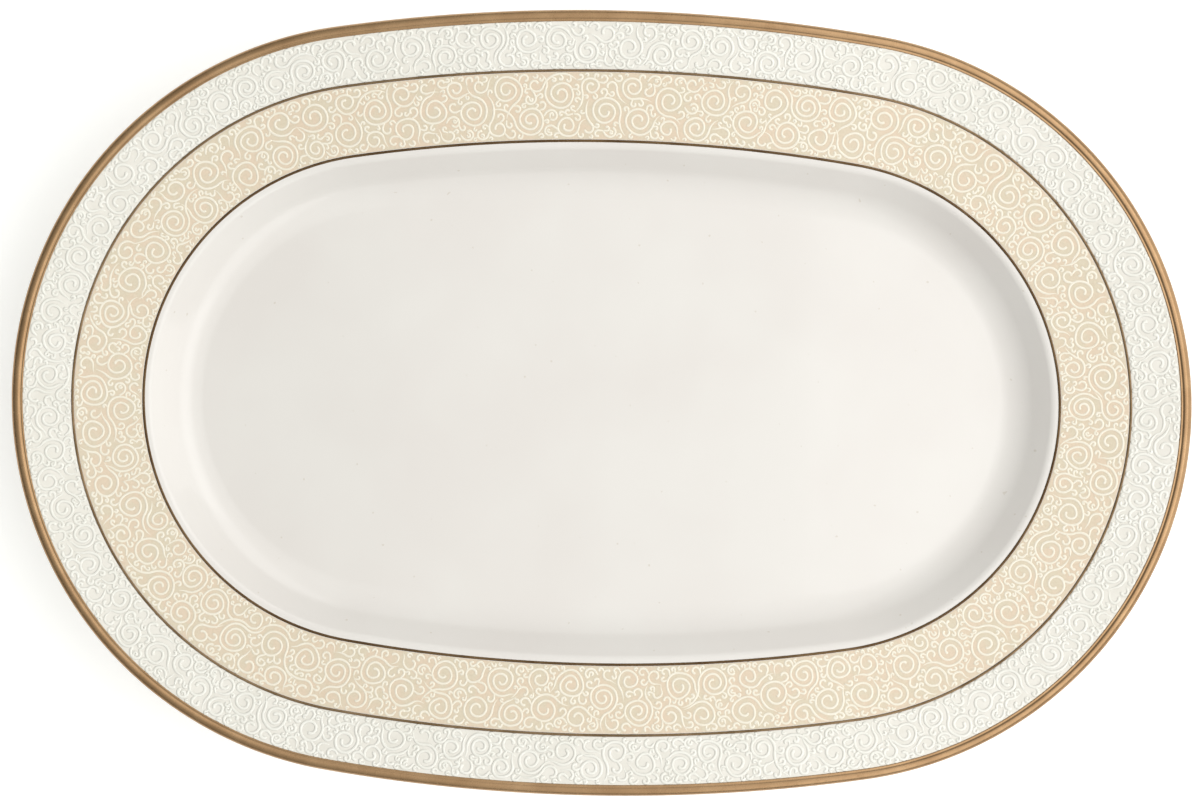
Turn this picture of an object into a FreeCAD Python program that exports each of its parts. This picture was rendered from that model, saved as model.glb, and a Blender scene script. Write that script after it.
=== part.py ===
"""Oval china serving platter with a gilded edge and two decorated rim bands.

Millimetres, +Z up, +X along the platter.  The origin is under the middle of the foot, on
the surface that the platter stands on.

Every outline of the platter is a parallel offset of one four-centre oval: two end arcs
about (+-end_centre, 0) and two flatter side arcs about (0, +-side_centre).  A ring is
drawn as a section, revolved about an end centre and about a side centre, and mirrored.
A section is drawn in insets, measured inward from the outermost edge, and heights.
"""
import FreeCAD, Part
import Sketcher
import math
import os

Vector = FreeCAD.Vector
START, END, MIDDLE = 1, 2, 3
ORIGIN = (-1, START)
CENTRE_LEFT, CENTRE_RIGHT = 1, -1

# Driving dimensions in millimetres and degrees.
SIZES = {
    "length_over_edge": 350.0,  # along X, edge to edge
    "width_over_edge": 233.4,  # along Y, edge to edge
    "end_radius": 111.7,  # end arc of the outermost edge
    "foot_height": 3.2,  # ground face to the underside of the body
    "foot_root_width": 5.0,  # foot ring where it leaves the body
    "foot_face_width": 2.6,  # ground face of the foot ring
    "foot_round": 0.6,  # rounding beside the ground face
    "foot_set_in": 0.6,  # foot ring behind the bottom of the wall
    "body_thickness": 4.8,  # porcelain of the well and the wall
    "glaze_thickness": 0.25,  # fired glaze, everywhere but the foot ring
    "film_thickness": 0.2,  # transfer and gilding fired onto the glaze
    "relief_height": 0.4,  # raised ornament of the outer band
    "edge_radius": 1.5,  # rounded edge of the rim, over the glaze
    "gold_band_width": 3.4,  # gilding of the edge, seen from above
    "line_width": 1.0,  # both thin gold lines
    "outer_line_inset": 17.8,  # middle of the outer thin line
    "inner_line_inset": 38.6,  # middle of the inner thin line
    "rim_inset": 39.6,  # where the rim turns down into the wall
    "rim_slope": 8.0,  # fall of the rim there
    "rim_curve": 420.0,  # radius of the slightly dished rim
    "shoulder_radius": 3.5,  # round turn from the rim to the wall, on the face
    "back_round": 1.5,  # round turn from the rim to the wall, on the back
    "wall_slope": 42.0,  # fall of the straight part of the wall
    "wall_length": 6.2,  # straight part of the wall
    "well_radius": 15.0,  # hollow curve from the wall to the floor
}

# What follows from the sizes, in the order in which it is worked out.  The glaze's face is
# the reference surface: corners are on it, and depths are measured squarely below it.
FORMULAS = {
    "end_centre": "Sizes.length_over_edge / 2 - Sizes.end_radius",
    "side_radius": "(end_centre ^ 2 + (Sizes.width_over_edge / 2) ^ 2 - Sizes.end_radius ^ 2)"
                   " / (Sizes.width_over_edge - 2 * Sizes.end_radius)",
    "side_centre": "side_radius - Sizes.width_over_edge / 2",
    "split_angle": "atan(end_centre / side_centre) / 1 deg",
    "full_depth": "Sizes.body_thickness + 2 * Sizes.glaze_thickness",
    "rim_sine": "sin(Sizes.rim_slope)",
    "rim_cosine": "cos(Sizes.rim_slope)",
    "wall_sine": "sin(Sizes.wall_slope)",
    "wall_cosine": "cos(Sizes.wall_slope)",
    "shoulder_inset": "Sizes.rim_inset + Sizes.shoulder_radius * (wall_sine - rim_sine)",
    "wall_inset": "shoulder_inset + Sizes.wall_length * wall_cosine",
    "floor_inset": "wall_inset + Sizes.well_radius * wall_sine",
    "floor_height": "Sizes.foot_height + Sizes.body_thickness + Sizes.glaze_thickness",
    "wall_height": "floor_height + Sizes.well_radius * (1 - wall_cosine)",
    "shoulder_height": "wall_height + Sizes.wall_length * wall_sine",
    "rim_height": "shoulder_height + Sizes.shoulder_radius * (rim_cosine - wall_cosine)",
    # The back turns as if it lay below a rounder shoulder, which begins a little further out
    # on the rim and ends a little further down the wall.
    "back_shoulder": "full_depth + Sizes.back_round",
    "back_shift": "(back_shoulder - Sizes.shoulder_radius)"
                  " * tan((Sizes.wall_slope - Sizes.rim_slope) / 2)",
    "back_rim_inset": "Sizes.rim_inset - back_shift * rim_cosine",
    "back_rim_height": "rim_height + back_shift * rim_sine",
    "back_shoulder_inset": "shoulder_inset + back_shift * wall_cosine",
    "back_shoulder_height": "shoulder_height - back_shift * wall_sine",
    # The rounded edge touches the rim's face at edge_inset.
    "edge_inset": "(Sizes.film_thickness + Sizes.edge_radius * (1 + rim_sine"
                  " + Sizes.rim_inset / Sizes.rim_curve)) / (1 + Sizes.edge_radius / Sizes.rim_curve)",
    "edge_sine": "rim_sine + (Sizes.rim_inset - edge_inset) / Sizes.rim_curve",
    "edge_cosine": "sqrt(1 - edge_sine ^ 2)",
    "edge_middle_inset": "edge_inset - Sizes.edge_radius * edge_sine",
    "edge_middle_height": "rim_height + Sizes.rim_curve * rim_cosine"
                          " - (Sizes.rim_curve + Sizes.edge_radius) * edge_cosine",
    # The rim's back is one arc that leaves the wall's shoulder and meets the rounded edge,
    # tangent to both: (across, up) runs from its lower end to the middle of the edge.
    "back_across": "edge_middle_inset - back_rim_inset + full_depth * rim_sine",
    "back_up": "edge_middle_height - back_rim_height + full_depth * rim_cosine",
    "back_curve": "(back_across ^ 2 + back_up ^ 2 - Sizes.edge_radius ^ 2)"
                  " / (2 * (back_across * rim_sine + back_up * rim_cosine - Sizes.edge_radius))",
    "back_edge_sine": "(back_across - back_curve * rim_sine) / (back_curve - Sizes.edge_radius)",
    "back_edge_cosine": "(back_up - back_curve * rim_cosine) / (back_curve - Sizes.edge_radius)",
    "foot_outer_inset": "floor_inset + Sizes.foot_set_in",
    "foot_inner_inset": "foot_outer_inset + Sizes.foot_root_width",
    "foot_taper": "(Sizes.foot_root_width - Sizes.foot_face_width) / 2 - Sizes.foot_round",
}


def fill_sheet(doc):
    """The driving dimensions, one row each, with the alias beside the value."""
    sheet = doc.addObject("Spreadsheet::Sheet", "Sizes")
    for row, (alias, value) in enumerate(SIZES.items(), start=1):
        sheet.set(f"A{row}", alias)
        sheet.set(f"B{row}", str(value))
        sheet.setAlias(f"B{row}", alias)
    doc.recompute()
    return sheet


def fill_formulas(doc):
    """The derived values, each a property bound to its formula."""
    derived = doc.addObject("App::VarSet", "Derived")
    for name, formula in FORMULAS.items():
        derived.addProperty("App::PropertyFloat", name, "Derived")
        derived.setExpression(name, formula)
        doc.recompute()


doc = FreeCAD.newDocument("ServingPlatter")
sizes = fill_sheet(doc)
fill_formulas(doc)


def number(formula):
    """A formula's value now, in millimetres or degrees."""
    return float(sizes.evalExpression(formula))


def minus(formula):
    """The formula's negative."""
    return "0" if formula == "0" else f"(-{formula})"


# Points of a section: (inset, height) formulas at a depth below the glaze's face.

def rim_point(inset, depth="0"):
    """A point of the dished rim."""
    sine = f"(Derived.rim_sine + (Sizes.rim_inset - {inset}) / Sizes.rim_curve)"
    height = (f"Derived.rim_height + Sizes.rim_curve * Derived.rim_cosine"
              f" - (Sizes.rim_curve + {depth}) * sqrt(1 - {sine} ^ 2)")
    return f"{inset} - ({depth}) * {sine}", height


def corner(name, slope, depth):
    """The end of the rim, shoulder or wall, where the surface has the slope's fall."""
    start = "Sizes.rim_inset" if name == "rim" else f"Derived.{name}_inset"
    across = f"{start} - ({depth}) * Derived.{slope}_sine"
    return across, f"Derived.{name}_height - ({depth}) * Derived.{slope}_cosine"


def edge_point(side, cover):
    """A point of the rounded edge, cover outside the glaze: face, outermost or back."""
    reach = f"(Sizes.edge_radius + {cover})"
    towards = {
        "face": ("Derived.edge_sine", "Derived.edge_cosine"),
        "outermost": ("-1", "0"),
        "back": ("Derived.back_edge_sine", "Derived.back_edge_cosine"),
    }[side]
    return (f"Derived.edge_middle_inset + {reach} * ({towards[0]})",
            f"Derived.edge_middle_height + {reach} * ({towards[1]})")


# Runs of a section: [(point, bend to the next point)], where a bend is None for a straight
# run or (radius, side on which the centre lies going forward).

def down_the_wall(depth, rim="rim", shoulder="shoulder", radius="Sizes.shoulder_radius"):
    """Shoulder, wall and hollow curve, from the rim's end to the floor."""
    return [
        (corner(rim, "rim", depth), (f"{radius} - ({depth})", CENTRE_RIGHT)),
        (corner(shoulder, "wall", depth), None),
        (corner("wall", "wall", depth), (f"Sizes.well_radius + {depth}", CENTRE_LEFT)),
        (("Derived.floor_inset", f"Derived.floor_height - ({depth})"), None),
    ]


def face_run(depth):
    """From the rounded edge over the face to the floor."""
    start = edge_point("face", minus(depth))
    return [(start, (f"Sizes.rim_curve + {depth}", CENTRE_LEFT))] + down_the_wall(depth)


def back_run(depth):
    """From the rounded edge over the back to the underside of the floor."""
    start = edge_point("back", minus(depth))
    curve = f"Derived.back_curve - ({depth})"
    below = f"(Derived.full_depth - ({depth}))"
    down = down_the_wall(below, "back_rim", "back_shoulder", "Derived.back_shoulder")
    return [(start, (curve, CENTRE_LEFT))] + down


def edge_run(cover):
    """Round the edge from the face to the back."""
    bend = (f"Sizes.edge_radius + {cover}", CENTRE_LEFT)
    return [(edge_point("face", cover), bend), (edge_point("outermost", cover), bend),
            (edge_point("back", cover), None)]


def backwards(run):
    """The same run from its end to its start."""
    points = [point for point, bend in reversed(run)]
    bends = [bend and (bend[0], -bend[1]) for point, bend in reversed(run[:-1])]
    return list(zip(points, bends + [None]))


def joined(*runs):
    """Runs end to end, leaving out a point that repeats the one before."""
    outline = []
    for run in runs:
        if outline and outline[-1][0] == run[0][0]:
            outline.pop()
        outline += run
    if outline[0][0] == outline[-1][0]:
        outline.pop()
    return outline


# Drawing and sweeping.

def arc_between(start, end, radius, side):
    """The short arc between two sketch points, always counterclockwise for the sketcher."""
    chord = end - start
    left = Vector(-chord.y, chord.x, 0).normalize()
    rise = math.sqrt(radius ** 2 - (chord.Length / 2) ** 2)
    centre = (start + end) / 2 + left * rise * side
    first, last = (start, end) if side == CENTRE_LEFT else (end, start)
    angles = [math.atan2(point.y - centre.y, point.x - centre.x) for point in (first, last)]
    circle = Part.Circle(centre, Vector(0, 0, 1), radius)
    return Part.ArcOfCircle(circle, angles[0], angles[1] + 2 * math.pi * (angles[1] < angles[0]))


def constrain(sketch, fixed, driven):
    """Adds the constraints in one go, then binds each driven one to its formula."""
    dimensions = [Sketcher.Constraint(kind, *references, number(formula))
                  for kind, references, formula in driven]
    added = sketch.addConstraint([Sketcher.Constraint(*parts) for parts in fixed] + dimensions)
    for index, (kind, references, formula) in zip(added[len(fixed):], driven):
        sketch.setExpression(f"Constraints[{index}]", formula)


def origin_plane(body, role):
    """One of the body's own origin planes."""
    return next(feature for feature in body.Origin.OriginFeatures if feature.Role == role)


def new_sketch(body, name, role):
    """An empty sketch on one of the body's own origin planes."""
    sketch = body.newObject("Sketcher::SketchObject", name)
    sketch.AttachmentSupport = [(origin_plane(body, role), "")]
    sketch.MapMode = "FlatFace"
    return sketch


def draw_section(sketch, outline, half_extent):
    """The closed outline, with its insets turned into distances from the platter's middle."""
    places = [(f"{half_extent} - ({inset})", height) for (inset, height), bend in outline]
    corners = [Vector(number(across), number(height), 0) for across, height in places]
    ends, fixed, driven = [], [], []
    for index, (point, bend) in enumerate(outline):
        start, end = corners[index], corners[(index + 1) % len(corners)]
        if bend is None:
            line = sketch.addGeometry(Part.LineSegment(start, end), False)
            ends.append(((line, START), (line, END)))
            continue
        radius, side = bend
        # Insets run inward and the sketch runs outward, which swaps left and right.
        arc = sketch.addGeometry(arc_between(start, end, number(radius), -side), False)
        ends.append(((arc, END), (arc, START)) if side == CENTRE_LEFT else ((arc, START), (arc, END)))
        driven.append(("Radius", (arc,), radius))
    for index, (across, height) in enumerate(places):
        fixed.append(("Coincident", *ends[index - 1][1], *ends[index][0]))
        driven.append(("DistanceX", (*ORIGIN, *ends[index][0]), across))
        driven.append(("DistanceY", (*ORIGIN, *ends[index][0]), height))
    constrain(sketch, fixed, driven)


def draw_axis(sketch, distance, inward):
    """A vertical construction line through an arc centre, to revolve about."""
    across = -number(distance) if inward else number(distance)
    line = Part.LineSegment(Vector(across, 0, 0), Vector(across, number("Derived.rim_height"), 0))
    axis = sketch.addGeometry(line, True)
    centre = (axis, START, *ORIGIN) if inward else (*ORIGIN, axis, START)
    fixed = [("Vertical", axis), ("PointOnObject", axis, START, -1)]
    driven = [("DistanceX", centre, distance),
              ("DistanceY", (axis, START, axis, END), "Derived.rim_height")]
    constrain(sketch, fixed, driven)


def mirror(body, feature, role):
    """The feature again on the other side of an origin plane."""
    copy = body.newObject("PartDesign::Mirrored", f"{feature.Name}_mirrored")
    copy.Originals = [feature]
    copy.MirrorPlane = (origin_plane(body, role), [""])
    body.Tip = copy
    doc.recompute()


def sweep_ring(body, outline):
    """One section carried all the way round the four-centre oval."""
    turns = {
        "end": ("XZ_Plane", "Sizes.length_over_edge / 2", "Derived.end_centre",
                "(180 - 2 * Derived.split_angle) * 1 deg"),
        "side": ("YZ_Plane", "Sizes.width_over_edge / 2", "Derived.side_centre",
                 "2 * Derived.split_angle * 1 deg"),
    }
    features = []
    for name, (plane, half_extent, centre, angle) in turns.items():
        sketch = new_sketch(body, f"{body.Name}_{name}_section", plane)
        draw_section(sketch, outline, half_extent)
        draw_axis(sketch, centre, inward=name == "side")
        turn = body.newObject("PartDesign::Revolution", f"{body.Name}_{name}")
        turn.Profile = sketch
        turn.ReferenceAxis = (sketch, ["Axis0"])
        turn.Midplane = True
        turn.setExpression("Angle", angle)
        doc.recompute()
        features.append(turn)
    for feature, across_plane in zip(features, ("YZ_Plane", "XZ_Plane")):
        mirror(body, feature, across_plane)


def draw_oval(sketch, inset):
    """The four tangent arcs of the oval, an inset inside the outermost edge."""
    end_radius = f"Sizes.end_radius - {inset}"
    side_radius = f"Derived.side_radius - {inset}"
    split = math.radians(number("Derived.split_angle"))
    end_centre, side_centre = number("Derived.end_centre"), number("Derived.side_centre")
    quarter = math.pi / 2
    arcs = [  # centre, radius, middle direction, half sweep
        (Vector(end_centre, 0, 0), end_radius, 0, quarter - split),
        (Vector(0, -side_centre, 0), side_radius, quarter, split),
        (Vector(-end_centre, 0, 0), end_radius, 2 * quarter, quarter - split),
        (Vector(0, side_centre, 0), side_radius, 3 * quarter, split),
    ]
    driven = []
    for index, (centre, radius, middle, sweep) in enumerate(arcs):
        circle = Part.Circle(centre, Vector(0, 0, 1), number(radius))
        sketch.addGeometry(Part.ArcOfCircle(circle, middle - sweep, middle + sweep), False)
        driven.append(("Radius", (index,), radius))
    right, left = 0, 2
    fixed = [("Tangent", index, END, (index + 1) % len(arcs), START) for index in range(len(arcs))]
    fixed += [("PointOnObject", end, MIDDLE, -1) for end in (right, left)]
    driven.append(("DistanceX", (*ORIGIN, right, MIDDLE), "Derived.end_centre"))
    driven.append(("DistanceX", (left, MIDDLE, *ORIGIN), "Derived.end_centre"))
    constrain(sketch, fixed, driven)


def pad_oval(body, inset, underside, thickness):
    """A flat oval plate that lies on the height called underside."""
    sketch = new_sketch(body, f"{body.Name}_oval", "XY_Plane")
    sketch.setExpression("AttachmentOffset.Base.z", underside)
    draw_oval(sketch, inset)
    plate = body.newObject("PartDesign::Pad", f"{body.Name}_plate")
    plate.Profile = sketch
    plate.setExpression("Length", thickness)


# The pieces.

def new_piece(name):
    """An empty body whose label names its file."""
    piece = doc.addObject("PartDesign::Body", name)
    piece.Label = name
    return piece


def porcelain_body():
    """The fired clay: rim, wall and floor in one."""
    glaze = "Sizes.glaze_thickness"
    piece = new_piece("porcelain_body")
    face = face_run(glaze)
    back = back_run(glaze)
    sweep_ring(piece, joined(face, backwards(back), backwards(edge_run(minus(glaze)))))
    pad_oval(piece, "Derived.floor_inset", "Sizes.foot_height", "Sizes.body_thickness")


def foot_ring():
    """The ring under the well, ground flat where it stands."""
    outer, inner, taper = "Derived.foot_outer_inset", "Derived.foot_inner_inset", "Derived.foot_taper"
    outline = [
        ((outer, "Sizes.foot_height"), None),
        ((f"{outer} + {taper}", "Sizes.foot_round"), ("Sizes.foot_round", CENTRE_LEFT)),
        ((f"{outer} + {taper} + Sizes.foot_round", "0"), None),
        ((f"{inner} - {taper} - Sizes.foot_round", "0"), ("Sizes.foot_round", CENTRE_LEFT)),
        ((f"{inner} - {taper}", "Sizes.foot_round"), None),
        ((inner, "Sizes.foot_height"), None),
    ]
    sweep_ring(new_piece("foot_ring"), outline)


def glaze_coat():
    """The glaze over the face, round the edge and down the back to the foot."""
    glaze = "Sizes.glaze_thickness"
    piece = new_piece("glaze_coat")
    to_foot = [(("Derived.foot_outer_inset", "Sizes.foot_height"), None),
               (("Derived.foot_outer_inset", f"Sizes.foot_height - {glaze}"), None)]
    outline = joined(
        backwards(edge_run("0")), face_run("0"), backwards(face_run(glaze)),
        edge_run(minus(glaze)), back_run(glaze), to_foot, backwards(back_run("0")))
    sweep_ring(piece, outline)
    pad_oval(piece, "Derived.floor_inset", f"Derived.floor_height - {glaze}", glaze)


def well_back_glaze():
    """The glaze of the underside inside the foot ring."""
    piece = new_piece("well_back_glaze")
    glaze = "Sizes.glaze_thickness"
    pad_oval(piece, "Derived.foot_inner_inset", f"Sizes.foot_height - {glaze}", glaze)


def gold_rim_band():
    """The gilding, from the rim's face round the edge to its back."""
    film, inner_end = "Sizes.film_thickness", "Sizes.gold_band_width"
    outline = joined(
        [(rim_point(inner_end, minus(film)), (f"Sizes.rim_curve - {film}", CENTRE_RIGHT))],
        edge_run(film), backwards(edge_run("0")),
        [(edge_point("face", "0"), ("Sizes.rim_curve", CENTRE_LEFT)), (rim_point(inner_end), None)])
    sweep_ring(new_piece("gold_rim_band"), outline)


def rim_film(name, start, end, thickness):
    """A decoration fired onto the face of the rim, between two insets."""
    above = minus(thickness)
    outline = [
        (rim_point(start, above), (f"Sizes.rim_curve - {thickness}", CENTRE_LEFT)),
        (rim_point(end, above), None),
        (rim_point(end), ("Sizes.rim_curve", CENTRE_RIGHT)),
        (rim_point(start), None),
    ]
    sweep_ring(new_piece(name), outline)


def rim_films():
    """The decorations side by side, from the gilding in to the shoulder."""
    half_line = "Sizes.line_width / 2"
    bounds = [
        "Sizes.gold_band_width",
        f"(Sizes.outer_line_inset - {half_line})", f"(Sizes.outer_line_inset + {half_line})",
        f"(Sizes.inner_line_inset - {half_line})", f"(Sizes.inner_line_inset + {half_line})",
    ]
    films = [("white_relief_band", "Sizes.relief_height"), ("outer_gold_line", "Sizes.film_thickness"),
             ("ivory_transfer_band", "Sizes.film_thickness"), ("inner_gold_line", "Sizes.film_thickness")]
    for (name, thickness), start, end in zip(films, bounds, bounds[1:]):
        rim_film(name, start, end, thickness)


def check_document():
    """Stops on a failed object or a bad piece."""
    failed = [item.Name for item in doc.Objects if {"Invalid", "Error"} & set(item.State)]
    pieces = [item for item in doc.Objects if item.TypeId == "PartDesign::Body"]
    failed += [piece.Label for piece in pieces if piece.Shape.isNull() or not piece.Shape.isValid()]
    failed += [piece.Label for piece in pieces if len(piece.Shape.Solids) != 1]
    if failed:
        raise RuntimeError(f"these did not build: {failed}")
    return pieces


porcelain_body()
foot_ring()
glaze_coat()
well_back_glaze()
gold_rim_band()
rim_films()
doc.recompute()

os.makedirs("parts", exist_ok=True)
for piece in check_document():
    piece.Shape.exportStep(f"parts/{piece.Label}.step")
    print(f"{piece.Label}: {piece.Shape.Volume / 1000:.2f} cm3, {len(piece.Shape.Faces)} faces")
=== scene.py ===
"""Looks of the oval china serving platter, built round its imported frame.

Metres, in the frame of the CAD model: +X along the platter, +Z up, origin under the foot.
Everything round the platter is placed by two numbers: the direction that the outline
faces there, and the inset from the outermost edge.  Heights come from one face profile.
"""
import bmesh
import bpy
import math
import random
import numpy as np
from mathutils import Matrix, Vector


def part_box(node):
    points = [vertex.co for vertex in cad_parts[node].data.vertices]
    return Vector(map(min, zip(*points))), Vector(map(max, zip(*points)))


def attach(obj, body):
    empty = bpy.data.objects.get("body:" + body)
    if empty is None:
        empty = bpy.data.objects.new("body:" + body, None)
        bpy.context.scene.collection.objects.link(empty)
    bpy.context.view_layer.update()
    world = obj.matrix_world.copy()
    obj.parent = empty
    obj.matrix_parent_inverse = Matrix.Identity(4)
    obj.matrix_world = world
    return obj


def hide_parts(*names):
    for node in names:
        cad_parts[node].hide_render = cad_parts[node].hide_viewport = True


MM = 0.001
TURN = 2 * math.pi

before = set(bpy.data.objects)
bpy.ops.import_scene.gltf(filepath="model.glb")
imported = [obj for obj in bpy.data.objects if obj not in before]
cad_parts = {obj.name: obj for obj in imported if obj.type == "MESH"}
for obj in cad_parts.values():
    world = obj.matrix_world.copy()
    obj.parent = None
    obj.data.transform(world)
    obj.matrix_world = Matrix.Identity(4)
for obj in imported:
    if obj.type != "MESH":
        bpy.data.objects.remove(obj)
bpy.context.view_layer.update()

# ---------------------------------------------------------------- sizes of the platter

HALF_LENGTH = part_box("gold_rim_band")[1].x
HALF_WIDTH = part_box("gold_rim_band")[1].y
END_RADIUS = 111.7 * MM
FOOT_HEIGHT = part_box("foot_ring")[1].z
FOOT_WIDTH = 5.0 * MM
GLAZE = 0.25 * MM
FULL_DEPTH = 5.3 * MM  # glazed wall, face to back
GOLD_PROUD = 0.2 * MM  # gilding over the glaze, at the edge
EDGE_RADIUS = 1.5 * MM
RIM_SLOPE = math.radians(8)
RIM_CURVE = 420 * MM
RIM_INSET = 39.6 * MM
SHOULDER_RADIUS = 3.5 * MM
BACK_ROUND = 1.5 * MM
WALL_SLOPE = math.radians(42)
WALL_LENGTH = 6.2 * MM
WELL_RADIUS = 15 * MM
BACK_SHOULDER = FULL_DEPTH + BACK_ROUND  # the shoulder that the back is drawn below
FLOOR_HEIGHT = FOOT_HEIGHT + FULL_DEPTH - GLAZE


def outer_inset(node):
    """Where a ring of the CAD model begins, inward from the outermost edge."""
    return HALF_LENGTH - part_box(node)[1].x


WHITE_BAND = (outer_inset("white_relief_band"), outer_inset("outer_gold_line"))
OUTER_LINE = (outer_inset("outer_gold_line"), outer_inset("ivory_transfer_band"))
IVORY_BAND = (outer_inset("ivory_transfer_band"), outer_inset("inner_gold_line"))
LINE_WIDTH = OUTER_LINE[1] - OUTER_LINE[0]
INNER_LINE = (IVORY_BAND[1], IVORY_BAND[1] + LINE_WIDTH)


# ------------------------------------------------------------- outline and face profile

class Oval:
    """The four-centre outline: two end arcs and two flatter side arcs."""

    def __init__(self):
        self.end_centre = HALF_LENGTH - END_RADIUS
        self.side_radius = ((self.end_centre ** 2 + HALF_WIDTH ** 2 - END_RADIUS ** 2)
                            / (2 * (HALF_WIDTH - END_RADIUS)))
        self.side_centre = self.side_radius - HALF_WIDTH
        split = math.atan(self.end_centre / self.side_centre)
        quarter = math.pi / 2
        self.knots = np.array([0, quarter - split, quarter + split, math.pi + quarter - split,
                               math.pi + quarter + split, TURN])

    def distances(self, inset):
        """Distance round the outline at each knot."""
        radii = np.array([END_RADIUS, self.side_radius, END_RADIUS, self.side_radius, END_RADIUS])
        return np.concatenate([[0], np.cumsum(np.diff(self.knots) * (radii - inset))])

    def perimeter(self, inset):
        """Length of the outline at an inset."""
        return float(self.distances(inset)[-1])

    def facing(self, distance, inset):
        """The direction that the outline faces, after a distance round it."""
        at = self.distances(inset)
        return np.interp(np.mod(distance, at[-1]), at, self.knots)

    def place(self, facing, inset):
        """X and Y at a direction and an inset."""
        cosine, sine = np.cos(facing), np.sin(facing)
        side = ((facing > self.knots[1]) & (facing < self.knots[2])
                | (facing > self.knots[3]) & (facing < self.knots[4]))
        radius = np.where(side, self.side_radius, END_RADIUS) - inset
        middle_x = np.where(side, 0, np.copysign(self.end_centre, cosine))
        middle_y = np.where(side, -np.copysign(self.side_centre, sine), 0)
        return middle_x + radius * cosine, middle_y + radius * sine


OVAL = Oval()


class Face:
    """Heights of the glazed face, from the floor of the well out to the rim."""

    def __init__(self):
        rim = (math.sin(RIM_SLOPE), math.cos(RIM_SLOPE))
        wall = (math.sin(WALL_SLOPE), math.cos(WALL_SLOPE))
        self.shoulder_inset = RIM_INSET + SHOULDER_RADIUS * (wall[0] - rim[0])
        self.wall_inset = self.shoulder_inset + WALL_LENGTH * wall[1]
        self.floor_inset = self.wall_inset + WELL_RADIUS * wall[0]
        self.wall_height = FLOOR_HEIGHT + WELL_RADIUS * (1 - wall[1])
        self.shoulder_height = self.wall_height + WALL_LENGTH * wall[0]
        self.rim_height = self.shoulder_height + SHOULDER_RADIUS * (rim[1] - wall[1])

    def rim(self, inset, lift=0.0):
        """A point of the dished rim, lifted squarely off the glaze: (inset, height)."""
        sine = math.sin(RIM_SLOPE) + (RIM_INSET - np.asarray(inset)) / RIM_CURVE
        cosine = np.sqrt(1 - sine ** 2)
        height = self.rim_height + RIM_CURVE * math.cos(RIM_SLOPE) - (RIM_CURVE - lift) * cosine
        return inset + lift * sine, height

    def shoulder_start(self, radius):
        """Where a shoulder of that radius, tangent to the rim and the wall, leaves the rim."""
        shift = (radius - SHOULDER_RADIUS) * math.tan((WALL_SLOPE - RIM_SLOPE) / 2)
        return RIM_INSET - shift * math.cos(RIM_SLOPE), self.rim_height + shift * math.sin(RIM_SLOPE)

    def below_rim(self, depth, radius, steps):
        """Shoulder, wall and hollow curve at a depth below the face, rim end first."""
        start, top = self.shoulder_start(radius)
        points = []
        for slope in np.linspace(RIM_SLOPE, WALL_SLOPE, steps):
            points.append((start + radius * (math.sin(slope) - math.sin(RIM_SLOPE)),
                           top - radius * (math.cos(RIM_SLOPE) - math.cos(slope)), slope))
        for slope in np.linspace(WALL_SLOPE, 0, 2 * steps):
            points.append((self.floor_inset - WELL_RADIUS * math.sin(slope),
                           FLOOR_HEIGHT + WELL_RADIUS * (1 - math.cos(slope)), slope))
        return [(inset - depth * math.sin(slope), height - depth * math.cos(slope))
                for inset, height, slope in points]


FACE = Face()


class Edge:
    """The rounded edge of the rim and the dished back that runs into it."""

    def __init__(self):
        # The round touches the face at this inset, which puts its gilding's outermost point at 0.
        slope = math.sin(RIM_SLOPE)
        self.inset = ((GOLD_PROUD + EDGE_RADIUS * (1 + slope + RIM_INSET / RIM_CURVE))
                      / (1 + EDGE_RADIUS / RIM_CURVE))
        across, up = FACE.rim(self.inset, -EDGE_RADIUS)
        self.middle = Vector((across, up))
        # The back is one arc, tangent to the round and to the back's shoulder.
        normal = Vector((math.sin(RIM_SLOPE), math.cos(RIM_SLOPE)))
        low_end = Vector(FACE.shoulder_start(BACK_SHOULDER)) - FULL_DEPTH * normal
        reach = self.middle - low_end
        self.back_curve = ((reach.length_squared - EDGE_RADIUS ** 2)
                           / (2 * (reach.dot(normal) - EDGE_RADIUS)))
        self.back_centre = low_end + self.back_curve * normal
        down = self.middle - self.back_centre
        self.back_angle = math.atan2(down.y, down.x)
        self.low_angle = math.atan2(-normal.y, -normal.x)
        top = FACE.rim(self.inset)
        self.face_angle = math.atan2(top[1] - up, top[0] - across)

    def round_edge(self, radius, steps):
        """From the face round the outermost point to the back."""
        angles = np.linspace(self.face_angle, self.back_angle + TURN, steps)
        return [(self.middle.x + radius * math.cos(angle), self.middle.y + radius * math.sin(angle))
                for angle in angles]

    def back(self, steps):
        """The rim's back, from the edge to where the wall begins."""
        angles = np.linspace(self.back_angle, self.low_angle, steps)
        return [tuple(self.back_centre + self.back_curve * Vector((math.cos(angle), math.sin(angle))))
                for angle in angles]


EDGE = Edge()


# ------------------------------------------------------------------------ mesh building

def make_mesh(name, points, faces, material):
    """A smooth-shaded object whose closed shells face outward."""
    mesh = bpy.data.meshes.new(name)
    mesh.from_pydata([tuple(p) for p in points], [], [tuple(int(i) for i in f) for f in faces])
    work = bmesh.new()
    work.from_mesh(mesh)
    bmesh.ops.recalc_face_normals(work, faces=work.faces)
    work.to_mesh(mesh)
    work.free()
    mesh.polygons.foreach_set("use_smooth", [True] * len(mesh.polygons))
    mesh.materials.append(material)
    piece = bpy.data.objects.new(name, mesh)
    bpy.context.scene.collection.objects.link(piece)
    return piece


def belongs(piece, slot, *nodes):
    """Attaches a piece to the root and hides the CAD nodes that it stands for; the slot is not used."""
    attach(piece, "root")
    if nodes:
        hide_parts(*nodes)


ROUND_STEPS = 640
ROUND_DIRECTIONS = OVAL.facing(
    np.linspace(0, OVAL.perimeter(RIM_INSET), ROUND_STEPS, endpoint=False), RIM_INSET)


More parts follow.
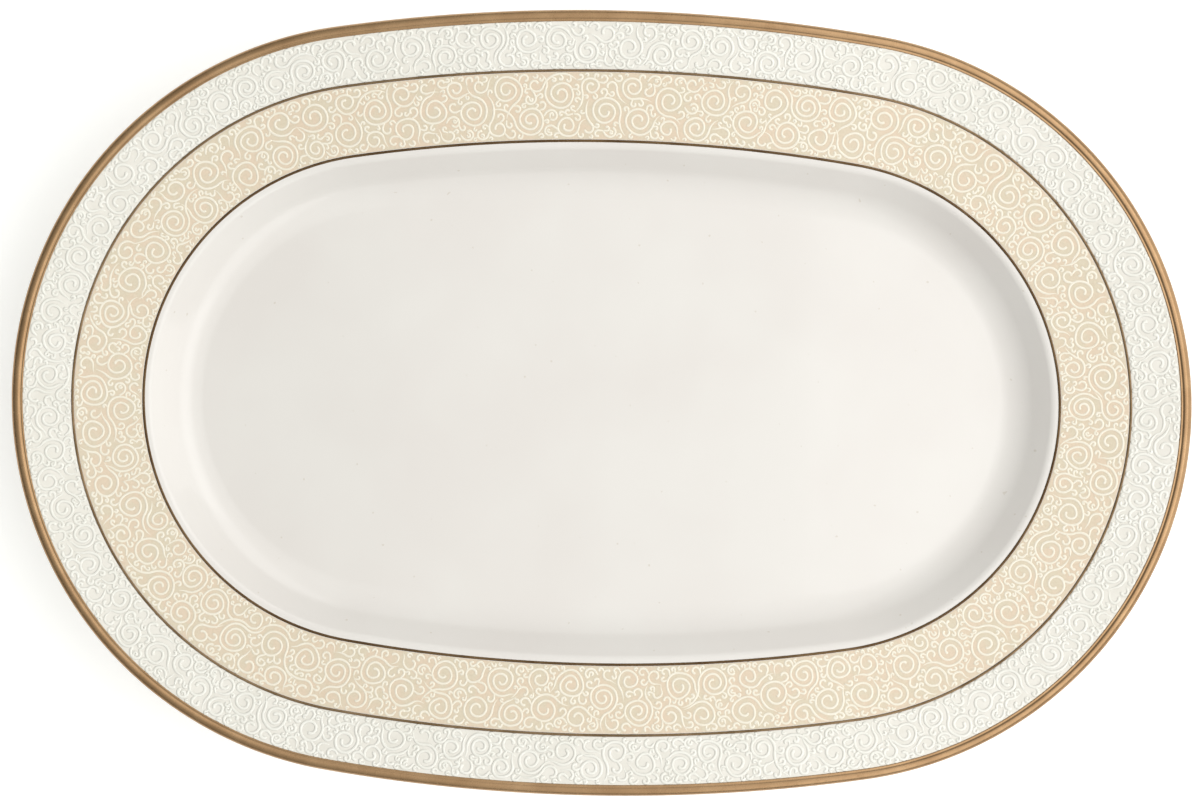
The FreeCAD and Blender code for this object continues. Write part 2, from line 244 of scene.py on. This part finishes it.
def ring_row(inset, height):
    """One profile point carried round the oval."""
    x, y = OVAL.place(ROUND_DIRECTIONS, inset)
    return np.stack([x, y, np.full(ROUND_STEPS, height)], axis=1)


def strip_faces(rows, closed):
    """Quads between neighbouring rows, and between the last and the first if closed."""
    faces = []
    here = np.arange(ROUND_STEPS)
    ahead = np.roll(here, -1)
    for row in range(rows if closed else rows - 1):
        low, high = row * ROUND_STEPS, (row + 1) % rows * ROUND_STEPS
        faces += np.stack([low + here, low + ahead, high + ahead, high + here], axis=1).tolist()
    return faces


def ring_mesh(profile):
    """Points and faces of a closed ring with that closed profile."""
    rows = [ring_row(inset, height) for inset, height in profile]
    return np.concatenate(rows), strip_faces(len(rows), closed=True)


def film_profile(start, end, lift, steps, ease):
    """A low film on the rim: its top rises from the glaze over the ease at both sides."""
    bed = 0.05 * MM
    insets = np.concatenate([start + ease * (1 - np.cos(np.linspace(0, math.pi / 2, 5))),
                             np.linspace(start + ease, end - ease, steps)[1:-1],
                             end - ease * (1 - np.cos(np.linspace(math.pi / 2, 0, 5)))])
    side = np.clip(np.minimum(insets - start, end - insets) / ease, 0, 1)
    lifts = lift * np.sqrt(1 - (1 - side) ** 2)
    top = [FACE.rim(inset, up) for inset, up in zip(insets, lifts)]
    return top + [FACE.rim(inset, -bed) for inset in insets[::-1]]


# ---------------------------------------------------------------------------- scrollwork

class Strokes:
    """An all-over arabesque for one band, drawn flat: distance along it, offset across it.

    Circles of falling size are packed into the band.  Each holds a spiral whose outer end
    swings out round a neighbour, and small curls then branch off into what is left open.
    """

    def __init__(self, seed, band, margin, radii, pitch, width):
        self.random = random.Random(seed)
        self.middle_inset = (band[0] + band[1]) / 2
        self.half = (band[1] - band[0]) / 2
        self.reach = self.half - margin
        self.length = OVAL.perimeter(self.middle_inset)
        self.pitch, self.width = pitch, width
        self.circles = np.zeros((0, 3))
        self.lines = []  # (points, half-widths), one for each stroke
        self.cell = 0.25 * MM  # of the grid that says how open the band still is
        self.across = np.arange(-self.half, self.half, self.cell)
        self.cells = int(self.length / self.cell)
        self.window = 11  # how far a stroke takes the band, in cells
        edges = self.half + 0.45 * self.width - np.abs(self.across)
        self.open = np.tile(np.minimum(edges, self.window * self.cell), (self.cells, 1))
        self.nearest = np.zeros((self.cells, len(self.across), 2))
        self.pack(radii)
        for index in range(len(self.circles)):
            self.spiral(index)
        self.close_circles()
        self.fill()

    def gaps(self, point):
        """From a point to the rim of every circle, wrapping round the band."""
        along = np.abs(self.circles[:, 0] - point[0])
        along = np.minimum(along, self.length - along)
        return np.hypot(along, self.circles[:, 1] - point[1]) - self.circles[:, 2]

    def pack(self, radii):
        """Drops circles into the band at random, the largest first, each clear of the others."""
        clearance = 0.52 * self.pitch
        for radius in radii:
            tries = int(90 * self.length / radius)
            for _ in range(tries):
                along = self.random.uniform(0, self.length)
                across = self.random.uniform(-1, 1) * (self.reach - radius)
                if len(self.circles) == 0 or self.gaps((along, across)).min() > radius + clearance:
                    self.circles = np.vstack([self.circles, (along, across, radius)])

    def add(self, points, start_width, end_width, taper):
        """Keeps a stroke that swells from its start and ends round, and marks the band as taken."""
        points = np.array(points)
        limit = self.half - 0.4 * self.width
        points[:, 1] = np.clip(points[:, 1], -limit, limit)
        steps = np.linalg.norm(np.diff(points, axis=0), axis=1)
        distance = np.concatenate([[0], np.cumsum(steps)])
        left = distance[-1] - distance
        widths = start_width + (1 - start_width) * np.clip(distance / taper, 0, 1)
        widths *= 1 + (end_width - 1) * np.exp(-(left / (0.8 * self.width)) ** 2)
        cap = np.clip(left / (0.5 * self.width * end_width), 0.02, 1)
        self.lines.append((points, self.width / 2 * widths * np.sqrt(1 - (1 - cap) ** 2)))
        self.mark(points)

    def mark(self, points):
        """Lowers the open distance round a stroke."""
        window = np.arange(-self.window, self.window + 1)
        for point in points:
            row, column = int(point[0] / self.cell), int((point[1] + self.half) / self.cell)
            rows = (row + window) % self.cells
            columns = column + window
            columns = columns[(columns >= 0) & (columns < len(self.across))]
            along = (row + window) * self.cell + self.cell / 2 - point[0]
            away = np.hypot(along[:, None], (self.across[columns] - point[1])[None, :])
            grid = np.ix_(rows, columns)
            closer = away < self.open[grid]
            self.open[grid] = np.where(closer, away, self.open[grid])
            self.nearest[grid] = np.where(closer[:, :, None], point, self.nearest[grid])

    def spiral(self, index):
        """A spiral that fills a circle, with a tail that swings round a neighbour."""
        along, across, radius = self.circles[index]
        turn = self.random.choice((-1, 1))
        gaps = self.gaps((along, across))
        gaps[index] = np.inf
        neighbour = self.circles[self.random.choice(list(np.argsort(gaps)[:3]))]
        side = neighbour[0] - along
        side -= self.length * round(side / self.length)
        start = math.atan2(neighbour[1] - across, side)
        tail = self.tail(index, (along + side, neighbour[1]), start, turn)
        ripple, phase = self.random.uniform(0.01, 0.05), self.random.uniform(0, TURN)
        pitch = self.pitch * self.random.uniform(0.95, 1.25)
        heart = 0.36 * pitch
        sweep = TURN * (radius - heart) / pitch
        points = []
        swept = 0.0
        while swept < sweep:
            reach = heart + (radius - heart) * (1 - swept / sweep) ** 0.92
            reach *= 1 + ripple * math.sin(3 * swept + phase) * min(1, swept)
            angle = start + turn * swept
            points.append((along + reach * math.cos(angle), across + reach * math.sin(angle)))
            swept += min(0.38, 0.6 * MM / reach)
        self.add(tail[::-1] + points, 0.25, 1.35, 2.4 * self.pitch)

    def tail(self, index, centre, start, turn):
        """From the contact with a neighbour round it, until something is in the way."""
        along, across, radius = self.circles[index]
        contact = (along + radius * math.cos(start), across + radius * math.sin(start))
        swing = math.hypot(contact[0] - centre[0], contact[1] - centre[1])
        first = math.atan2(contact[1] - centre[1], contact[0] - centre[0])
        points = []
        limit = self.random.uniform(0.5, 2.2)
        swept = 0.0
        while swept < limit:
            swept += min(0.3, 0.5 * MM / swing)
            flare = swing * (1 + 0.06 * swept)
            point = (centre[0] + flare * math.cos(first + turn * swept),
                     centre[1] + flare * math.sin(first + turn * swept))
            gaps = self.gaps(point)
            gaps[index] = np.inf
            if gaps.min() < 0.3 * self.pitch or abs(point[1]) > self.reach:
                break
            points.append(point)
        return points

    def close_circles(self):
        """Takes the inside of every circle out of what is left open."""
        for along, across, radius in self.circles:
            window = np.arange(-int(radius / self.cell), int(radius / self.cell) + 1)
            rows = (int(along / self.cell) + window) % self.cells
            away = np.hypot((window * self.cell)[:, None], (self.across - across)[None, :])
            self.open[rows] = np.where(away < radius, 0, self.open[rows])

    def fill(self):
        """Branches into the widest openings until every one is narrow."""
        smallest = 0.66 * self.pitch
        while True:
            row, column = np.unravel_index(np.argmax(self.open), self.open.shape)
            room = self.open[row, column]
            if room < smallest:
                return
            heart = np.array([(row + 0.5) * self.cell, self.across[column]])
            self.branch(heart, room, self.nearest[row, column])
            self.open[row, column] = 0

    def branch(self, heart, room, nearest):
        """A short stem off the nearest stroke that ends in a curl, or a leaf if there is no room."""
        curl = min(room - 0.42 * self.pitch, 1.5 * self.pitch)
        root = nearest.copy() if nearest.any() else heart + np.array([1.2 * curl, 0])
        root[0] -= self.length * round((root[0] - heart[0]) / self.length)
        reach = math.hypot(*(root - heart))
        if curl < 0.24 * self.pitch or reach < 1.05 * curl:
            tip = heart + (heart - root) * 0.25
            bend = heart + np.array([-1, 1]) * (heart - root)[::-1] * self.random.uniform(-0.4, 0.4)
            points = [(1 - t) ** 2 * root + 2 * t * (1 - t) * bend + t * t * tip
                      for t in np.linspace(0, 1, 7)]
            self.add(points, 0.9, 0.7, 0.8 * self.pitch)
            return
        towards = math.atan2(root[1] - heart[1], root[0] - heart[0])
        lean = math.acos(curl / reach)
        turn = self.random.choice((-1, 1))
        entry = towards - turn * lean
        points = [root + (heart + curl * np.array([math.cos(entry), math.sin(entry)]) - root) * t
                  for t in np.linspace(0, 1, 5)[:-1]]
        sweep = self.random.uniform(4.2, 5.6)
        swept = 0.0
        while swept < sweep:
            size = curl * (1 - 0.62 * swept / sweep)
            angle = entry - turn * swept
            points.append(heart + size * np.array([math.cos(angle), math.sin(angle)]))
            swept += min(0.45, 0.5 * MM / size)
        self.add(points, 0.6, 1.3, 0.9 * self.pitch)

    def mesh(self, height, bed, share_of_band):
        """Points and faces of one part's strokes as closed ribbons with a soft crown, on the rim."""
        points, faces = [], []
        shares = np.array([-1, -0.55, 0, 0.55, 1])
        crowns = 0.5 + 0.5 * np.cos(math.pi * shares)
        for line, halves in self.lines:
            where = line[0, 0] / self.length % 1
            if not share_of_band[0] <= where < share_of_band[1]:
                continue
            first = len(points)
            headings = np.gradient(line, axis=0)
            headings /= np.maximum(np.linalg.norm(headings, axis=1), 1e-9)[:, None]
            sides = np.stack([-headings[:, 1], headings[:, 0]], axis=1)
            for place, side, half in zip(line, sides, halves):
                peak = height * min(1, 2 * half / self.width + 0.1)
                for share, crown in zip(shares, crowns):
                    along, across = place + side * half * share
                    points.append((along, across, bed + (peak - bed) * crown))
            count, loop = len(line), len(shares)
            for step in range(count - 1):
                low = first + step * loop
                for corner in range(loop):
                    ahead = (corner + 1) % loop
                    faces.append((low + corner, low + ahead, low + loop + ahead, low + loop + corner))
            faces.append(tuple(range(first, first + loop)))
            faces.append(tuple(range(first + (count - 1) * loop, first + count * loop)))
        flat = np.array(points)
        facing = OVAL.facing(flat[:, 0], self.middle_inset)
        inset, up = FACE.rim(self.middle_inset + flat[:, 1], flat[:, 2])
        x, y = OVAL.place(facing, inset)
        return np.stack([x, y, up], axis=1), faces


# ----------------------------------------------------------------------------- materials

def srgb(red, green, blue):
    """A display colour from 0 to 255 as the linear colour that shaders take."""
    def linear(value):
        value /= 255
        return value / 12.92 if value <= 0.04045 else ((value + 0.055) / 1.055) ** 2.4
    return (linear(red), linear(green), linear(blue), 1.0)


class Surface:
    """A material under construction: a Principled shader and the nodes that feed it."""

    def __init__(self, name, **constants):
        self.material = bpy.data.materials.new(name)
        self.material.use_nodes = True
        self.nodes, self.links = self.material.node_tree.nodes, self.material.node_tree.links
        self.shader = self.nodes["Principled BSDF"]
        for socket, value in constants.items():
            self.shader.inputs[socket.replace("_", " ")].default_value = value
        self.coordinates = self.nodes.new("ShaderNodeTexCoord").outputs["Object"]

    def noise(self, size, detail=3.0, distortion=0.0):
        """Noise whose features are about that size in metres, from 0 to 1."""
        node = self.nodes.new("ShaderNodeTexNoise")
        node.inputs["Scale"].default_value = 1 / size
        node.inputs["Detail"].default_value = detail
        node.inputs["Distortion"].default_value = distortion
        self.links.new(self.coordinates, node.inputs["Vector"])
        return node.outputs["Fac"]

    def spread(self, value, low, high, to_low, to_high):
        """The value moved from one range to another and kept inside it."""
        node = self.nodes.new("ShaderNodeMapRange")
        sockets = ("From Min", "From Max", "To Min", "To Max")
        for socket, number in zip(sockets, (low, high, to_low, to_high)):
            node.inputs[socket].default_value = number
        self.links.new(value, node.inputs["Value"])
        return node.outputs["Result"]

    def blend(self, share, first, second):
        """A colour between two, each a colour or another node's output."""
        node = self.nodes.new("ShaderNodeMix")
        node.data_type = "RGBA"
        self.links.new(share, node.inputs["Factor"])
        colour_a, colour_b, colour_result = node.inputs[6], node.inputs[7], node.outputs[2]
        for socket, colour in ((colour_a, first), (colour_b, second)):
            if isinstance(colour, tuple):
                socket.default_value = colour
            else:
                self.links.new(colour, socket)
        return colour_result

    def bump(self, height, distance, strength, below=None):
        """Surface relief of that depth in metres, over another one if given."""
        node = self.nodes.new("ShaderNodeBump")
        node.inputs["Distance"].default_value = distance
        node.inputs["Strength"].default_value = strength
        self.links.new(height, node.inputs["Height"])
        if below is not None:
            self.links.new(below, node.inputs["Normal"])
        return node.outputs["Normal"]

    def feed(self, **outputs):
        """Connects the outputs to the shader's sockets of those names: the finished material."""
        for socket, output in outputs.items():
            self.links.new(output, self.shader.inputs[socket.replace("_", " ")])
        return self.material


def glaze_material():
    """Cream-white china under clear glaze: faint clouding, specks and a soft waviness."""
    surface = Surface("cream_glaze", IOR=1.5, Coat_Weight=0.35, Coat_Roughness=0.04)
    clouds = surface.spread(surface.noise(38 * MM, 2), 0.35, 0.65, 0, 1)
    colour = surface.blend(clouds, srgb(229, 224, 220), srgb(232, 228, 224))
    specks = surface.spread(surface.noise(1.6 * MM, 0), 0.845, 0.87, 0, 0.35)
    colour = surface.blend(specks, colour, srgb(196, 184, 166))
    roughness = surface.spread(surface.noise(9 * MM, 4), 0.3, 0.7, 0.1, 0.17)
    waves = surface.bump(surface.noise(14 * MM, 1), 0.12 * MM, 0.35)
    skin = surface.bump(surface.noise(1.1 * MM, 2), 0.01 * MM, 0.25, waves)
    return surface.feed(Base_Color=colour, Roughness=roughness, Normal=skin)


def relief_material(name, clouds, colours, bump):
    """White glaze of the outer band, with clouds of a size and detail between two colours."""
    surface = Surface(name, IOR=1.5, Coat_Weight=0.3, Coat_Roughness=0.05)
    share = surface.spread(surface.noise(*clouds), 0.35, 0.65, 0, 1)
    colour = surface.blend(share, *colours)
    roughness = surface.spread(surface.noise(3 * MM, 3), 0.3, 0.7, 0.14, 0.24)
    skin = surface.bump(surface.noise(0.9 * MM, 3), *bump)
    return surface.feed(Base_Color=colour, Roughness=roughness, Normal=skin)


def ivory_material():
    """The printed ivory ground: slightly uneven colour with the fine grain of the print."""
    surface = Surface("ivory_print", IOR=1.5, Coat_Weight=0.25, Coat_Roughness=0.06)
    clouds = surface.spread(surface.noise(6 * MM, 2, 0.5), 0.4, 0.6, 0, 1)
    colour = surface.blend(clouds, srgb(227, 207, 184), srgb(221, 209, 186))
    grain = surface.spread(surface.noise(0.6 * MM, 2), 0.4, 0.75, 0, 0.55)
    colour = surface.blend(grain, colour, srgb(212, 195, 168))
    roughness = surface.spread(surface.noise(2.5 * MM, 3), 0.3, 0.7, 0.18, 0.28)
    skin = surface.bump(surface.noise(0.5 * MM, 2), 0.012 * MM, 0.35)
    return surface.feed(Base_Color=colour, Roughness=roughness, Normal=skin)


def scroll_material():
    """The white enamel of the scrollwork on the ivory ground."""
    surface = Surface("scroll_enamel", IOR=1.5, Coat_Weight=0.2, Coat_Roughness=0.08)
    clouds = surface.spread(surface.noise(6 * MM, 3), 0.3, 0.7, 0, 1)
    colour = surface.blend(clouds, srgb(240, 232, 214), srgb(244, 237, 222))
    roughness = surface.spread(surface.noise(1.2 * MM, 2), 0.3, 0.7, 0.2, 0.32)
    return surface.feed(Base_Color=colour, Roughness=roughness)


def gold_material(name, dull, bright, worn):
    """Burnished warm gold: clouded in tone, with small thin and rubbed places and a fine grain."""
    surface = Surface(name, Metallic=1.0)
    clouds = surface.spread(surface.noise(11 * MM, 4, 0.6), 0.3, 0.7, 0, 1)
    colour = surface.blend(clouds, dull, bright)
    rubbed = surface.spread(surface.noise(0.8 * MM, 3), 0.62, 0.8, 0, 0.45)
    colour = surface.blend(rubbed, colour, worn)
    roughness = surface.spread(surface.noise(1.7 * MM, 4), 0.3, 0.7, 0.17, 0.32)
    skin = surface.bump(surface.noise(0.6 * MM, 3), 0.015 * MM, 0.5)
    return surface.feed(Base_Color=colour, Roughness=roughness, Normal=skin)


def foot_material():
    """Glazed flanks over a ground, unglazed face that has picked up a little grey."""
    surface = Surface("ground_foot", IOR=1.5)
    height = surface.nodes.new("ShaderNodeSeparateXYZ")
    surface.links.new(surface.coordinates, height.inputs[0])
    glazed = surface.spread(height.outputs["Z"], 0.35 * MM, 0.6 * MM, 0, 1)
    scuffs = surface.spread(surface.noise(2 * MM, 5), 0.45, 0.75, 0, 0.6)
    clay = surface.blend(scuffs, srgb(222, 214, 200), srgb(196, 187, 172))
    colour = surface.blend(glazed, clay, srgb(226, 221, 214))
    roughness = surface.spread(glazed, 0, 1, 0.75, 0.14)
    grit = surface.bump(surface.noise(0.3 * MM, 3), 0.04 * MM, 0.5)
    return surface.feed(Base_Color=colour, Roughness=roughness, Normal=grit)


# -------------------------------------------------------------------------------- pieces

def disc_rows(inset, height, outward):
    """Shrinking ovals that close a flat floor, ordered towards or away from its middle."""
    shares = np.linspace(0.1, 0.95, 5)
    edge = ring_row(inset, height)
    rows = [edge * (share, share, 1) for share in shares]
    return rows if outward else rows[::-1]


def build_glazed_body():
    """The china with its glaze: face, edge and back as one closed surface."""
    wall_steps = 16
    face = FACE.below_rim(0, SHOULDER_RADIUS, wall_steps)[::-1]
    rim = [FACE.rim(inset) for inset in np.linspace(RIM_INSET, EDGE.inset, 18)[1:-1]]
    back = EDGE.back(16)[:-1] + FACE.below_rim(FULL_DEPTH, BACK_SHOULDER, wall_steps)
    profile = face + rim + EDGE.round_edge(EDGE_RADIUS, 13) + back[1:]
    underside = FLOOR_HEIGHT - FULL_DEPTH
    rows = (disc_rows(FACE.floor_inset, FLOOR_HEIGHT, True)
            + [ring_row(inset, height) for inset, height in profile]
            + disc_rows(FACE.floor_inset, underside, False))
    points = np.concatenate(rows + [[(0, 0, FLOOR_HEIGHT), (0, 0, underside)]])
    faces = strip_faces(len(rows), closed=False)
    top, bottom = len(points) - 2, len(points) - 1
    last = (len(rows) - 1) * ROUND_STEPS
    for step in range(ROUND_STEPS):
        ahead = (step + 1) % ROUND_STEPS
        faces.append((top, ahead, step))
        faces.append((bottom, last + step, last + ahead))
    piece = make_mesh("glazed_body", points, faces, glaze_material())
    belongs(piece, "glaze", "porcelain_body", "glaze_coat", "well_back_glaze")


def build_foot():
    """The foot ring, with the glaze gathered thick where it leaves the body."""
    outer = outer_inset("foot_ring")
    inner = outer + FOOT_WIDTH
    taper, rounding, flare = 0.6 * MM, 0.6 * MM, 0.9 * MM
    root, pool, low_flank = FOOT_HEIGHT - 0.1 * MM, 1.2 * MM, 1.2 * MM
    half = []  # one flank, from the body down to the ground face
    for share in np.linspace(0, 1, 7):
        half.append((-flare * (1 - share) ** 2, root - pool * share))
    half.append((taper * 0.8, low_flank))
    for angle in np.linspace(0, math.pi / 2, 6):
        half.append((taper + rounding * (1 - math.cos(angle)), rounding * (1 - math.sin(angle))))
    profile = [(outer + across, up) for across, up in half]
    profile += [(inner - across, up) for across, up in reversed(half)]
    piece = make_mesh("foot_ring_ground", *ring_mesh(profile), foot_material())
    belongs(piece, "ground_foot", "foot_ring")


def build_gilding():
    """The gilded edge, with a fine groove near its inner side, and the two thin lines."""
    inner_end = WHITE_BAND[0]
    cover = EDGE_RADIUS + 0.97 * GOLD_PROUD
    run = inner_end - EDGE.inset
    # Share of the way out to the edge and share of the full height: a ridge, then the groove.
    lifts = [(0.0, 0.05), (0.06, 0.5), (0.14, 0.75), (0.26, 0.7), (0.38, 0.35), (0.5, 0.05),
             (0.62, 0.2), (0.74, 0.75), (0.86, 0.97)]
    top = [FACE.rim(inner_end - run * share, GOLD_PROUD * lift) for share, lift in lifts]
    edge = EDGE.round_edge(cover, 25)
    end = EDGE.round_edge(EDGE_RADIUS + 0.4 * GOLD_PROUD, 49)[-1:]
    bed = EDGE.round_edge(EDGE_RADIUS - 0.3 * GOLD_PROUD, 25)[::-1]
    low = [FACE.rim(EDGE.inset + run * share, -0.3 * GOLD_PROUD) for share in np.linspace(0.2, 1, 5)]
    gold = gold_material("burnished_gold", srgb(158, 126, 93), srgb(175, 143, 108), srgb(130, 98, 68))
    piece = make_mesh("gold_edge", *ring_mesh(top + edge + end + bed + low), gold)
    belongs(piece, "gilding", "gold_rim_band")
    outer_gold = gold_material("outer_line_gold", srgb(104, 84, 60), srgb(138, 116, 90), srgb(86, 66, 44))
    inner_gold = gold_material("inner_line_gold", srgb(82, 62, 42), srgb(112, 90, 64), srgb(70, 52, 34))
    spare = 0.1 * MM  # the drawn line stays this much inside its CAD ring at each side
    for name, node, (start, finish), line_gold in (
            ("outer_thin_line", "outer_gold_line", OUTER_LINE, outer_gold),
            ("inner_thin_line", "inner_gold_line", INNER_LINE, inner_gold)):
        profile = film_profile(start + spare, finish - spare, 0.12 * MM, 4, 0.3 * MM)
        belongs(make_mesh(name, *ring_mesh(profile), line_gold), "gilding", node)


def build_band(names, node, slot, band, materials, stroke_height, **drawing):
    """One band of the rim: its ground film, and the scrollwork on it in two pieces."""
    ground, scrolls = names
    ground_lift, sunk = 0.05 * MM, 0.02 * MM  # the strokes' feet are sunk in the film
    film = film_profile(*band, ground_lift, 14, 0.2 * MM)
    belongs(make_mesh(ground, *ring_mesh(film), materials[0]), slot, node)
    strokes = Strokes(band=band, **drawing)
    for side, share_of_band in (("back", (0, 0.5)), ("front", (0.5, 1))):
        points, faces = strokes.mesh(stroke_height, ground_lift - sunk, share_of_band)
        belongs(make_mesh(f"{scrolls}_{side}", points, faces, materials[1]), "relief_white")


def build_bands():
    """The white band with its raised arabesque and the ivory band with its printed one."""
    # Between the raised ornament the ground is a shade darker and more uneven: painted shade of the
    # recesses, along with the deeper tone of pooled glaze.
    pooled_and_shaded = relief_material("relief_ground", (5 * MM, 3), (srgb(231, 227, 218), srgb(237, 233, 225)),
                             (0.04 * MM, 0.5))
    raised = relief_material("white_relief", (17 * MM, 2), (srgb(239, 237, 229), srgb(243, 241, 234)),
                             (0.03 * MM, 0.4))
    build_band(("white_ground", "white_relief"), "white_relief_band", "relief_white", WHITE_BAND,
               (pooled_and_shaded, raised), 0.26 * MM,
               seed=11, margin=0.4 * MM, radii=np.array([3.9, 3.4, 2.9, 2.4, 1.9]) * MM,
               pitch=1.7 * MM, width=1.1 * MM)
    build_band(("ivory_ground", "ivory_scrollwork"), "ivory_transfer_band", "ivory_transfer", IVORY_BAND,
               (ivory_material(), scroll_material()), 0.15 * MM,
               seed=5, margin=0.3 * MM, radii=np.array([4.6, 4.1, 3.5, 2.9, 2.3, 1.8]) * MM,
               pitch=1.65 * MM, width=0.85 * MM)


build_glazed_body()
build_foot()
build_gilding()
build_bands()


# ----------------------------------------------------------------- floor, light, camera

def build_floor():
    """A wide pale floor that glows faintly: painted light that washes out the platter's shadows on it."""
    size = 4.0
    mesh = bpy.data.meshes.new("floor")
    corners = [(-size, -size, 0), (size, -size, 0), (size, size, 0), (-size, size, 0)]
    mesh.from_pydata(corners, [], [(0, 1, 2, 3)])
    # The emission is painted light: the floor glows so that the shadows on it stay near white.
    surface = Surface("pale_glowing_floor", Roughness=0.7, Emission_Color=(1, 1, 1, 1), Emission_Strength=0.3)
    clouds = surface.spread(surface.noise(0.5, 3), 0.3, 0.7, 0, 1)
    colour = surface.blend(clouds, srgb(250, 250, 249), srgb(252, 252, 251))
    mesh.materials.append(surface.feed(Base_Color=colour))
    floor = bpy.data.objects.new("floor", mesh)
    bpy.context.scene.collection.objects.link(floor)


def area_light(name, place, aim, size, power, colour):
    """A soft rectangular lamp that faces a point."""
    lamp = bpy.data.lights.new(name, "AREA")
    lamp.shape = "RECTANGLE"
    lamp.size, lamp.size_y = size
    lamp.energy = power
    lamp.color = colour
    light = bpy.data.objects.new(name, lamp)
    light.location = place
    light.rotation_euler = (Vector(aim) - Vector(place)).to_track_quat("-Z", "Y").to_euler()
    light.visible_camera = False
    bpy.context.scene.collection.objects.link(light)


def build_lights():
    """A soft ceiling and two softboxes on the right, in a room that darkens to the left and below."""
    white = (1.0, 0.99, 1.0)
    brightest = (0.65, 0.0, 0.5)  # the direction in which the room is brightest
    area_light("ceiling_softbox", (0.35, 0.0, 0.85), (0.35, 0, 0), (0.9, 3.6), 4.5, white)
    area_light("right_softbox", (0.95, 0.0, 0.6), (0, 0, 0), (1.0, 1.4), 2.6, white)
    area_light("near_softbox", (0.28, 0.0, 0.45), (0.28, 0, 0), (0.4, 1.4), 1.05, white)
    world = bpy.data.worlds.new("room")
    world.use_nodes = True
    bpy.context.scene.world = world
    nodes, links = world.node_tree.nodes, world.node_tree.links
    direction = nodes.new("ShaderNodeTexCoord")
    towards = nodes.new("ShaderNodeVectorMath")
    towards.operation = "DOT_PRODUCT"
    towards.inputs[1].default_value = brightest
    share = nodes.new("ShaderNodeMapRange")
    share.inputs["From Min"].default_value = -1
    links.new(direction.outputs["Generated"], towards.inputs[0])
    links.new(towards.outputs["Value"], share.inputs["Value"])
    links.new(share.outputs["Result"], nodes["Background"].inputs["Strength"])
    nodes["Background"].inputs["Color"].default_value = (0.985, 1.0, 0.95, 1)


def build_camera():
    """Nearly straight above, tilted a little from the far side and turned slightly."""
    tilt, roll = math.radians(3.0), math.radians(1.05)
    lens, sensor, frame_width = 150.0, 36.0, 355.5 * MM
    aim = Vector((-0.5 * MM, 0.5 * MM, FACE.rim(EDGE.inset)[1]))  # level with the edge
    distance = frame_width * lens / sensor
    camera = bpy.data.cameras.new("camera")
    camera.lens, camera.sensor_width = lens, sensor
    holder = bpy.data.objects.new("camera", camera)
    bpy.context.scene.collection.objects.link(holder)
    back = Vector((0, math.sin(tilt), math.cos(tilt)))
    up = Vector((0, math.cos(tilt), -math.sin(tilt)))
    right = up.cross(back)
    turned = Matrix.Rotation(roll, 3, back)
    axes = Matrix((turned @ right, turned @ up, back)).transposed()
    holder.matrix_world = Matrix.Translation(aim + back * distance) @ axes.to_4x4()
    bpy.context.scene.camera = holder


build_floor()
build_lights()
build_camera()
bpy.context.scene.view_settings.view_transform = "Standard"
